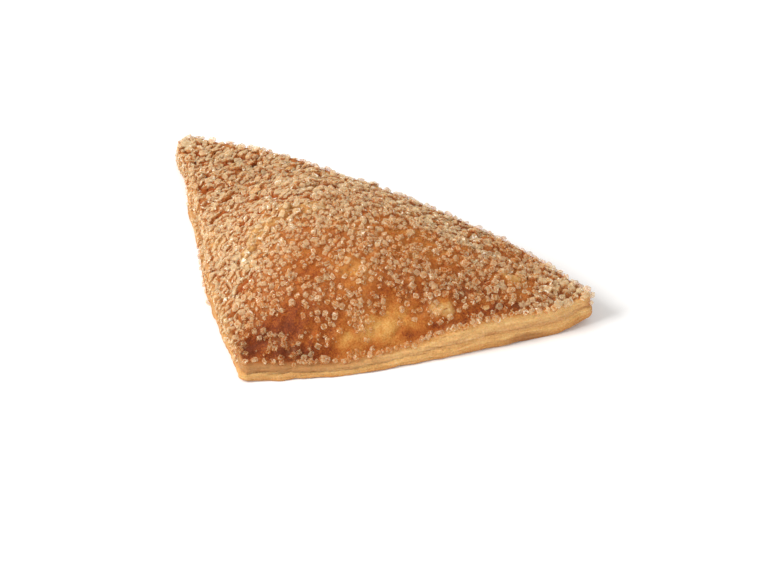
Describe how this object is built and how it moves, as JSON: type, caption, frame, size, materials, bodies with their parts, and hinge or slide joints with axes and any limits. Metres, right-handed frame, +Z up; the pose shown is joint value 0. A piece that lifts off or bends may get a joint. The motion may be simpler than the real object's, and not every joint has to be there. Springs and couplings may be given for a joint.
{
  "type": "turnover pastry",
  "caption": "Baked triangular puff pastry turnover, plump in the middle, with one folded and two cut edges and coarse sugar on top.",
  "frame": {"origin": "on the flat underside, in the middle of the bounding box seen from above", "axes": "+X along the folded edge, +Y from the free corner towards the folded edge, +Z up"},
  "size_m": [0.183, 0.1022, 0.0368],
  "materials": {
    "sugared_crust": null
  },
  "bodies": {
    "root": {"turnover": "sugared_crust"}
  },
  "joints": []
}
